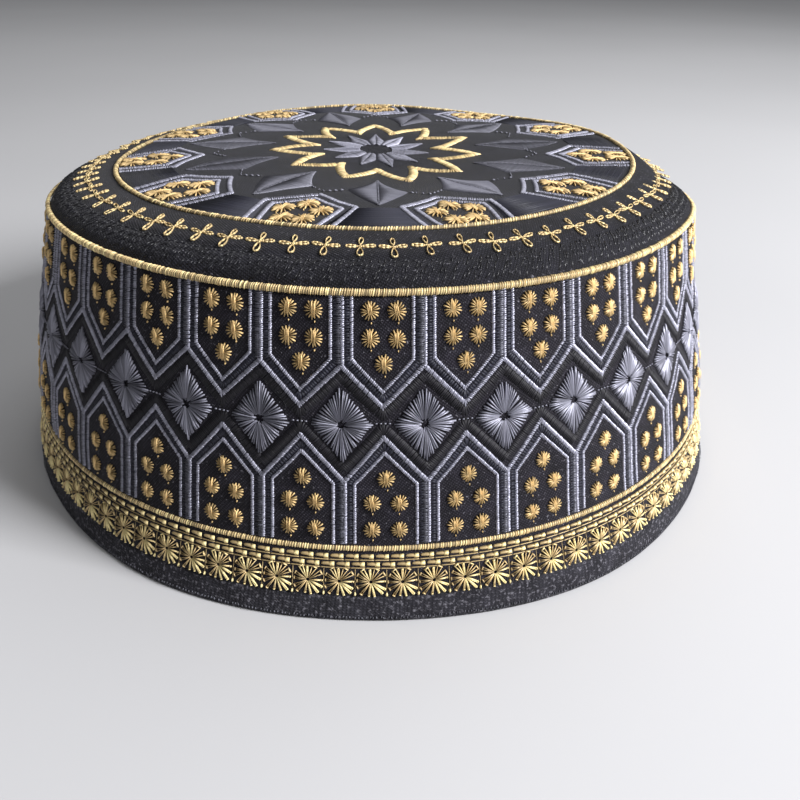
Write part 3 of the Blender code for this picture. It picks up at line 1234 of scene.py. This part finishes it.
def rosette(work, place, radius, rays, tallness=1.06, rise=0.42, ray_width=0.36):
    """Rays round a point, three longer stitches over its middle, and the small knot that ends it below."""
    up = place.out.cross(place.round)
    start_turn = work.random.uniform(0.0, math.tau / rays)
    for number in range(rays):
        angle = start_turn + math.tau * (number + work.random.uniform(-0.18, 0.18)) / rays
        way = place.round * math.cos(angle) + up * math.sin(angle) * tallness
        length = radius * work.random.uniform(0.90, 1.05)
        start = place.point + way * radius * ROSETTE_HOLE + place.out * rise * MM
        end = place.point + way * length + place.out * ROSETTE_EDGE_MM * MM
        shade = work.random.uniform(0.0, 0.75)
        work.stitch(start, end, place.out, ray_width * MM, ROSETTE_RAY_HEIGHT_MM * MM, shade)
    lean = work.random.uniform(-0.22, 0.08)
    way = (up + place.round * lean).normalized() * tallness
    for side in LONG_OFFSETS_MM:
        middle = place.point + place.round * side * MM + place.out * (rise + LONG_LIFT_MM) * MM
        low = radius * work.random.uniform(0.35, 0.75)
        high = radius * work.random.uniform(0.60, 0.95)
        ends = (middle - way * low, middle + way * high)
        work.stitch(*ends, place.out, LONG_WIDTH_MM * MM, LONG_HEIGHT_MM * MM, 0.95)
    aside = place.round * work.random.uniform(0.0, 0.4) * MM
    knot = place.point - up * radius * work.random.uniform(1.30, 1.42) + aside
    half = up * KNOT_HALF_MM * MM
    work.stitch(knot - half, knot + half, place.out, KNOT_WIDTH_MM * MM, KNOT_WIDTH_MM * MM, 0.7)


class KufiBorder(bpy.types.Operator):
    """Sew the border below the gold cord: two rows of bricks and a row of stars"""

    bl_idname = "kufi.border"
    bl_label = "Border of bricks and stars"

    BRICKS = 193
    STARS = 93
    STAR_HEIGHT_MM = 8.2
    FIRST_STAR_DEG = -0.76
    STAR_HOLE_MM = 0.35
    STAR_MIDDLE_LIFT_MM = 0.34
    STAR_TIP_LIFT_MM = 0.12
    STAR_RAY_HEIGHT_MM = 0.30
    STAR_LOOP_MM = 0.36
    STAR_LOOP_OVER_MM = 0.12

    # Rows of bricks: height, angle of the first one
    BRICK_ROWS = ((13.25, -0.43), (11.65, 0.33))

    # Stitches of one brick: its start and end as shares of a brick, each with its lift, then the height above
    # the row, width, height and shade. The shade is painted: painted shade on the bar, a painted highlight on
    # its end block
    BRICK_STITCHES = (
        (-0.84, -0.06, -0.22, 0.20, 0.0, 0.80, 0.34, 0.0),
        (-0.30, 0.24, 0.00, 0.28, 0.0, 0.98, 0.34, 0.9),
        (-0.95, 0.05, 0.02, 0.05, -0.80, 0.28, 0.18, 0.0),
    )

    # Rays of one star: direction, length, how far its double thread opens, thread width, shade. The shade is
    # painted light by the ray's direction: brighter on the rays to the lower right, up and up-left, darker on
    # those to the left
    STAR_RAYS = (
        (92.0, 2.55, 0.14, 0.33, 0.85),
        (62.0, 2.95, 0.46, 0.22, 0.50),
        (32.0, 3.00, 0.40, 0.22, 0.35),
        (2.0, 2.85, 0.08, 0.28, 0.70),
        (-28.0, 3.20, 0.16, 0.36, 1.00),
        (-52.0, 3.55, 0.16, 0.40, 1.00),
        (-74.0, 3.25, 0.10, 0.37, 0.95),
        (-98.0, 3.05, 0.12, 0.30, 0.70),
        (-125.0, 3.35, 0.20, 0.25, 0.40),
        (-152.0, 3.10, 0.26, 0.20, 0.05),
        (180.0, 2.80, 0.22, 0.20, 0.00),
        (152.0, 2.95, 0.24, 0.22, 0.10),
        (123.0, 3.00, 0.38, 0.31, 0.80),
    )

    # Stitches between two stars: their ends from the stars' middle, width, height, shade
    DIVIDERS = ((-2.3, 2.4, 0.18, 0.12, 0.0), (-2.95, -2.25, 0.55, 0.50, 1.0))

    def execute(self, context):
        bricks = StitchWork(61)
        for row_height, phase in self.BRICK_ROWS:
            for number in range(self.BRICKS):
                self.brick(bricks, phase + 360.0 * number / self.BRICKS, row_height)
        sew("border_bricks", "gold_thread", (bricks, thread_shape(BLUNT_STITCH, "Gold thread")))
        stars = StitchWork(62)
        for number in range(self.STARS):
            self.star(stars, self.FIRST_STAR_DEG + 360.0 * number / self.STARS)
        sew("border_stars", "gold_thread", (stars, thread_shape(FLAT_STITCH, "Gold thread")))
        return {"FINISHED"}

    def brick(self, work, angle, row_height):
        """A bar that rises to the right, painted darker as shade, the block at its right end painted bright
        as a highlight, and the dark thread below.
        """
        pitch = 360.0 / self.BRICKS
        for start, start_lift, end, end_lift, above, width, height, shade in self.BRICK_STITCHES:
            first = on_band(angle + pitch * start, row_height + above, start_lift * MM)
            last = on_band(angle + pitch * end, row_height + above, end_lift * MM)
            work.between(first, last, width * MM, height * MM, shade)

    def star(self, work, angle):
        """Double rays round a small hole, each closed by a loop at its end, and the knot before the next."""
        middle = on_band(angle, self.STAR_HEIGHT_MM)
        up = middle.out.cross(middle.round)
        for direction_deg, length, opening, width, shade in self.STAR_RAYS:
            direction = math.radians(direction_deg + work.random.uniform(-4.0, 4.0))
            reach = length * work.random.uniform(0.93, 1.03)
            way = middle.round * math.cos(direction) + up * math.sin(direction)
            side = middle.out.cross(way)
            start = middle.point + (way * self.STAR_HOLE_MM + middle.out * self.STAR_MIDDLE_LIFT_MM) * MM
            tips = []
            for sign in (-1.0, 1.0):
                away = way * reach + side * sign * opening + middle.out * self.STAR_TIP_LIFT_MM
                tip = middle.point + away * MM
                work.stitch(start, tip, middle.out, width * MM, self.STAR_RAY_HEIGHT_MM * MM, shade)
                tips.append(tip + side * sign * self.STAR_LOOP_OVER_MM * MM)
            # Each loop is painted a little brighter than its ray: a painted highlight at the ray's end
            loop = self.STAR_LOOP_MM * MM
            work.stitch(*tips, middle.out, loop, loop, min(1.0, shade + 0.15))
        edge = angle + 180.0 / self.STARS
        for low_mm, high_mm, width, height, shade in self.DIVIDERS:
            low = on_band(edge, self.STAR_HEIGHT_MM + low_mm, 0.05 * MM)
            high = on_band(edge, self.STAR_HEIGHT_MM + high_mm, 0.05 * MM)
            work.between(low, high, width * MM, height * MM, shade)


class KufiHemStitches(bpy.types.Operator):
    """Sew the small topstitches along the lower edge of the hem binding"""

    bl_idname = "kufi.hem_stitches"
    bl_label = "Hem topstitch"

    COUNT = 780

    def execute(self, context):
        work = StitchWork(71)
        for number in range(self.COUNT):
            angle = 360.0 * (number + work.random.uniform(-0.25, 0.25)) / self.COUNT
            wave = 0.10 * math.sin(math.radians(angle * 9.0)) + work.random.uniform(-0.12, 0.12)
            low = on_band(angle, 0.75 + wave, 0.22 * MM)
            high = on_band(angle + work.random.uniform(-0.1, 0.1), 1.15 + wave, 0.24 * MM)
            work.between(low, high, 0.30 * MM, 0.20 * MM)
        sew("hem_topstitch", "hem_cloth", (work, thread_shape(FLAT_STITCH, "Hem thread")))
        return {"FINISHED"}


class KufiFlowers(bpy.types.Operator):
    """Sew the chain of looped gold flowers round the shoulder"""

    bl_idname = "kufi.flowers"
    bl_label = "Chain of flowers"

    FLOWERS = 71
    FIRST_FLOWER_DEG = -2.4
    RING_RADIUS_MM = 70.8

    # Petals: direction, length, stalk and half width
    PETALS = (
        (8.0, 2.8, 0.4, 0.50),
        (90.0, 2.9, 0.7, 0.55),
        (172.0, 2.8, 0.4, 0.50),
        (270.0, 3.1, 0.4, 0.75),
    )
    LOOP_STEPS = 8

    def execute(self, context):
        work = StitchWork(81)
        for number in range(self.FLOWERS):
            angle = self.FIRST_FLOWER_DEG + 360.0 * number / self.FLOWERS + work.random.uniform(-0.25, 0.25)
            place = on_top(angle, self.RING_RADIUS_MM + work.random.uniform(-0.25, 0.25), 0.05 * MM)
            tilt = math.radians(work.random.uniform(-8.0, 8.0))
            for petal in self.PETALS:
                self.petal(work, place, petal, tilt)
        sew("shoulder_flowers", "gold_thread", (work, thread_shape(SHORT_STITCH, "Gold thread")))
        return {"FINISHED"}

    def petal(self, work, place, petal, tilt):
        direction, length, stalk, half_width = petal
        inward = place.out.cross(place.round)
        angle = math.radians(direction) + tilt + work.random.uniform(-0.08, 0.08)
        way = place.round * math.cos(angle) + inward * math.sin(angle)
        side = place.out.cross(way)
        length *= work.random.uniform(0.92, 1.05)
        points = []
        for step in range(self.LOOP_STEPS + 1):
            swing = math.tau * step / self.LOOP_STEPS
            share = 0.5 - 0.5 * math.cos(swing)
            reach = stalk + (length - stalk) * share
            width = half_width * math.sin(swing) * (0.45 + 0.55 * share)
            points.append(place.point + (way * reach + side * width) * MM)
        work.stitch(place.point, points[0], place.out, 0.30 * MM, 0.3 * MM)
        for first, last in zip(points[:-1], points[1:]):
            work.stitch(first, last, place.out, 0.22 * MM, 0.28 * MM, work.random.uniform(0.1, 0.8))


class KufiShoulderStitches(bpy.types.Operator):
    """Sew the black hatching of the shoulder and the seam beside it"""

    bl_idname = "kufi.shoulder_stitches"
    bl_label = "Shoulder hatching"

    # Rows of slanted stitches: radius of their outer end, length along the cloth
    ROWS = ((78.9, 1.5), (77.6, 1.6), (76.2, 1.6), (74.9, 0.9))
    ROW_COUNT = 430
    SEAM_COUNT = 150
    SEAM_RADIUS_MM = 74.2

    def execute(self, context):
        hatch = StitchWork(91)
        for radius, length in self.ROWS:
            for number in range(self.ROW_COUNT):
                angle = 360.0 * (number + hatch.random.uniform(-0.45, 0.45)) / self.ROW_COUNT
                start = on_top(angle, radius + hatch.random.uniform(-0.4, 0.4))
                lean = hatch.random.uniform(0.2, 1.1)
                end = on_top(angle + lean, radius - length * hatch.random.uniform(0.6, 1.1))
                hatch.between(start, end, 0.50 * MM, 0.22 * MM)
        seam = StitchWork(92)
        for number in range(self.SEAM_COUNT):
            angle = 360.0 * number / self.SEAM_COUNT
            start = on_top(angle, self.SEAM_RADIUS_MM, -0.12 * MM)
            end = on_top(angle + 1.7, self.SEAM_RADIUS_MM, -0.12 * MM)
            seam.between(start, end, 0.30 * MM, 0.26 * MM)
        parts = [(work, thread_shape(FLAT_STITCH, "Black satin thread")) for work in (hatch, seam)]
        sew("shoulder_hatching", "shoulder_cloth", *parts)
        return {"FINISHED"}


class KufiCrown(bpy.types.Operator):
    """Sew the crown: arches with rosettes, diamonds, dark panels, the gold star and the silver star"""

    bl_idname = "kufi.crown"
    bl_label = "Crown embroidery"

    # Half an arch: angle from its middle and radius, from the cord in to the tip
    OUTER_ARCH = ((8.2, 63.2), (11.2, 50.6), (0.0, 43.4))
    INNER_ARCH = ((5.5, 63.2), (8.2, 52.2), (0.0, 46.6))
    ARCH_ROSETTES = ((-2.0, 60.4), (2.1, 60.3), (-4.2, 54.6), (4.2, 54.6), (0.0, 51.0))
    ROSETTE_MM = 2.45
    ROSETTE_RAYS = 14

    # A panel's sides from the cord inwards: half its angle and radius
    PANEL = ((9.6, 62.9), (6.4, 51.4))
    PANEL_STEPS = 10

    # The gold star's points, inner and outer
    GOLD_STAR_RADII = (16.0, 25.5)

    # Leaves of two satin halves: inner radius, radius where they are widest, outer radius, half width.
    # The diamond's half width is an angle, and the petal's is a length, at its foot and where it is widest.
    DIAMOND = (26.2, 37.2, 48.8, 10.2)
    PETAL = (4.2, 8.0, 13.4, 1.1, 2.2)

    # How brightly each diamond and each petal of the star catches the light, counted round from the front
    DIAMOND_SHADES = (0.55, 0.95, 0.40, 0.35, 0.50, 0.45, 0.60, 0.95, 0.45, 0.40, 0.50)
    PETAL_SHADES = (0.30, 0.40, 0.55, 0.80, 0.90, 0.40, 0.35, 0.80, 1.00, 0.45, 0.30)

    def execute(self, context):
        pitch = context.scene.kufi_sizes.satin_pitch
        silver, arches, panels, gold, rosettes, star = (StitchWork(seed) for seed in range(101, 107))
        step = 360.0 / CROWN_REPEATS
        corners = []
        for number in range(CROWN_REPEATS):
            middle = FRONT_CROWN_DEG + step * number
            arch = middle + step / 2
            self.diamond(silver, middle, pitch, self.DIAMOND_SHADES[number])
            self.link(silver, middle, arch, middle + step)
            self.panel(panels, middle)
            self.arch(arches, arch, pitch)
            for angle, radius in self.ARCH_ROSETTES:
                place = on_top(arch + angle, radius)
                rosette(rosettes, place, self.ROSETTE_MM * MM, self.ROSETTE_RAYS, 1.25, 0.24, 0.38)
            self.petal(star, FRONT_CROWN_DEG + step * (number + 0.5), pitch, self.PETAL_SHADES[number])
            corners += [(middle, self.GOLD_STAR_RADII[0]), (arch, self.GOLD_STAR_RADII[1])]
        corners.append((corners[0][0] + 360.0, corners[0][1]))
        gold.column(route(on_top, corners), 1.9 * MM, 0.40 * MM, 0.46 * MM, 0.50 * MM, ragged=0.20 * MM)
        sew("crown_arches", "crown_cloth", (arches, thread_shape(DOMED_STITCH, "Silver thread")))
        sew(
            "crown_diamonds", "crown_cloth",
            (silver, thread_shape(FLAT_STITCH, "Grey thread")),
            (star, thread_shape(FLAT_STITCH, "Star thread")),
        )
        sew("crown_panels", "crown_cloth", (panels, thread_shape(FLAT_STITCH, "Dark satin thread")))
        sew("crown_gold_star", "gold_thread", (gold, thread_shape(FLAT_STITCH, "Gold thread")))
        sew("crown_rosettes", "gold_thread", (rosettes, thread_shape(RAY_STITCH, "Rosette thread")))
        return {"FINISHED"}

    def leaf(self, work, middle, inner, outer, half_angle, pitch, height, lift, shade):
        """Two halves of satin that meet on a ridge. half_angle says how far they reach round at a radius."""
        ridge = route(on_top, ((middle, inner), (middle, outer)), 0.6)
        lifted = [place._replace(point=place.point + place.out * lift) for place in ridge]
        radii = [place.point.xy.length / MM for place in ridge]
        for sign in (-1.0, 1.0):
            edge = [on_top(middle + sign * half_angle(radius), radius) for radius in radii]
            work.satin(lifted, edge, pitch, 0.44 * MM, height, shade=shade)

    def diamond(self, work, middle, pitch, shade):
        inner, wide, outer, half = self.DIAMOND

        def half_angle(radius):
            share = (radius - inner) / (wide - inner) if radius < wide else (outer - radius) / (outer - wide)
            return half * max(share, 0.02)

        self.leaf(work, middle, inner, outer, half_angle, pitch, 0.26 * MM, 0.25 * MM, shade)
        ridge = route(on_top, ((middle, inner + 1.5), (middle, outer - 1.5)), 1.2, 0.3 * MM)
        work.column(ridge, 0.40 * MM, pitch, 0.4 * MM, 0.24 * MM)

    def petal(self, work, middle, pitch, shade):
        inner, wide, outer, foot_half, half = self.PETAL

        def half_angle(radius):
            if radius < wide:
                half_width = foot_half + (half - foot_half) * (radius - inner) / (wide - inner)
            else:
                half_width = half * (outer - radius) / (outer - wide)
            return math.degrees(max(half_width, 0.05) / radius)

        self.leaf(work, middle, inner, outer, half_angle, pitch, 0.3 * MM, 0.3 * MM, shade)

    def link(self, work, middle, arch, next_middle):
        """The bright running stitch from one diamond to the next, past the arch's tip."""
        reach = self.DIAMOND[3] + 0.3
        corners = ((middle + reach, 38.0), (arch, 40.8), (next_middle - reach, 38.0))
        work.running(route(on_top, corners, 2.0, 0.2 * MM), 0.9 * MM, 0.5 * MM, 0.4 * MM, 0.3 * MM, 0.95)

    def arch(self, work, middle, pitch):
        for half, width in ((self.OUTER_ARCH, 1.1), (self.INNER_ARCH, 1.0)):
            left = [(middle - angle, radius) for angle, radius in half]
            right = [(middle + angle, radius) for angle, radius in half[-2::-1]]
            work.column(route(on_top, left + right), width * MM, pitch, 0.44 * MM, 0.42 * MM)

    def panel(self, work, middle):
        """The dark satin between two arches."""
        (low_half, low_radius), (high_half, high_radius) = self.PANEL
        edges = {-1.0: [], 1.0: []}
        for step in range(self.PANEL_STEPS + 1):
            share = step / self.PANEL_STEPS
            radius = low_radius + (high_radius - low_radius) * share
            half = low_half + (high_half - low_half) * share
            for sign, edge in edges.items():
                edge.append(on_top(middle + sign * half, radius))
        work.satin(*edges.values(), 0.42 * MM, 0.5 * MM, 0.25 * MM)


class KufiStage(bpy.types.Operator):
    """Lay the pale floor, set the soft studio light and place the camera"""

    bl_idname = "kufi.stage"
    bl_label = "Floor, light and camera"

    # The photograph's view of the cap
    CAMERA_AT = (0.0, -0.2097, 0.1187)
    PITCH_DOWN = 0.5314
    YAW_RIGHT = 0.0338
    ROLL = 0.0146
    LENS_MM = 36.0

    def execute(self, context):
        self.floor()
        self.lights()
        self.camera(context)
        return {"FINISHED"}

    def floor(self):
        mesh = bmesh.new()
        bmesh.ops.create_grid(mesh, x_segments=8, y_segments=8, size=6.0)
        material, tree, shader = new_material("Pale floor")
        place = node(tree, "ShaderNodeTexCoord").outputs["Object"]
        cloud = node(tree, "ShaderNodeTexNoise", {"Vector": place, "Scale": 3.0, "Detail": 2.0})
        stops = ((0.3, (0.47, 0.47, 0.48)), (0.7, (0.50, 0.50, 0.51)))
        fill(tree, shader, {"Base Color": colour_ramp(tree, cloud.outputs["Fac"], stops), "Roughness": 0.8})
        floor = bpy.data.objects.new("floor", finished_mesh("floor", mesh, [material]))
        bpy.context.scene.collection.objects.link(floor)

    def lights(self):
        target = Vector((0.0, 0.0, 0.04))
        for name, place, size, power, colour in (
            ("window", (0.88, -0.44, 0.62), 0.40, 27.0, (0.98, 0.98, 1.0)),
            ("top", (0.25, 0.55, 1.15), 0.9, 5.0, (1.0, 1.0, 1.0)),
            ("front", (-0.35, -1.0, 0.8), 1.2, 1.0, (1.0, 0.98, 0.96)),
        ):
            data = bpy.data.lights.new(name, "AREA")
            data.shape = "SQUARE"
            data.size = size
            data.energy = power
            data.color = colour
            light = bpy.data.objects.new(name, data)
            light.location = place
            light.rotation_euler = (target - Vector(place)).to_track_quat("-Z", "Y").to_euler()
            bpy.context.scene.collection.objects.link(light)
        world = bpy.data.worlds.new("Studio")
        world.use_nodes = True
        background = world.node_tree.nodes["Background"]
        fill(world.node_tree, background, {"Color": (0.80, 0.81, 0.83, 1.0), "Strength": 0.28})
        bpy.context.scene.world = world

    def camera(self, context):
        data = bpy.data.cameras.new("camera")
        data.sensor_width = 36.0
        data.lens = self.LENS_MM
        data.clip_start = 0.01
        camera = bpy.data.objects.new("camera", data)
        forward = Vector((
            math.sin(self.YAW_RIGHT) * math.cos(self.PITCH_DOWN),
            math.cos(self.YAW_RIGHT) * math.cos(self.PITCH_DOWN),
            -math.sin(self.PITCH_DOWN),
        ))
        level = forward.cross(Vector((0.0, 0.0, 1.0))).normalized()
        upright = level.cross(forward)
        right = level * math.cos(self.ROLL) + upright * math.sin(self.ROLL)
        top = right.cross(forward)
        turned = Matrix((right, top, -forward)).transposed()
        camera.matrix_world = Matrix.Translation(self.CAMERA_AT) @ turned.to_4x4()
        context.scene.collection.objects.link(camera)
        context.scene.camera = camera
        context.scene.view_settings.view_transform = "Standard"


class KufiPanel(bpy.types.Panel):
    """The cap's sizes, colours and pieces"""

    bl_idname = "VIEW3D_PT_kufi_cap"
    bl_label = "Kufi Cap"
    bl_space_type = "VIEW_3D"
    bl_region_type = "UI"
    bl_category = "Kufi Cap"

    def draw(self, context):
        layout = self.layout
        for group in (context.scene.kufi_sizes, context.scene.kufi_colours):
            for name in group.__annotations__:
                layout.prop(group, name)
        for operator in OPERATORS:
            layout.operator(operator.bl_idname)


OPERATORS = (
    KufiBandCloth,
    KufiTopCloth,
    KufiCords,
    KufiBandSatin,
    KufiBandSilver,
    KufiDiamonds,
    KufiRosettes,
    KufiBorder,
    KufiHemStitches,
    KufiFlowers,
    KufiShoulderStitches,
    KufiCrown,
    KufiStage,
)
CLASSES = (KufiColours, KufiSizes, *OPERATORS, KufiPanel)


def register():
    for made in CLASSES:
        bpy.utils.register_class(made)
    bpy.types.Scene.kufi_colours = bpy.props.PointerProperty(type=KufiColours)
    bpy.types.Scene.kufi_sizes = bpy.props.PointerProperty(type=KufiSizes)


def unregister():
    del bpy.types.Scene.kufi_sizes
    del bpy.types.Scene.kufi_colours
    for made in reversed(CLASSES):
        bpy.utils.unregister_class(made)


def main():
    register()
    bpy.ops.kufi.band_cloth()
    bpy.ops.kufi.top_cloth()
    bpy.ops.kufi.cords()
    bpy.ops.kufi.band_satin()
    bpy.ops.kufi.band_silver()
    bpy.ops.kufi.diamonds()
    bpy.ops.kufi.rosettes()
    bpy.ops.kufi.border()
    bpy.ops.kufi.hem_stitches()
    bpy.ops.kufi.flowers()
    bpy.ops.kufi.shoulder_stitches()
    bpy.ops.kufi.crown()
    bpy.ops.kufi.stage()


if __name__ == "__main__":
    main()
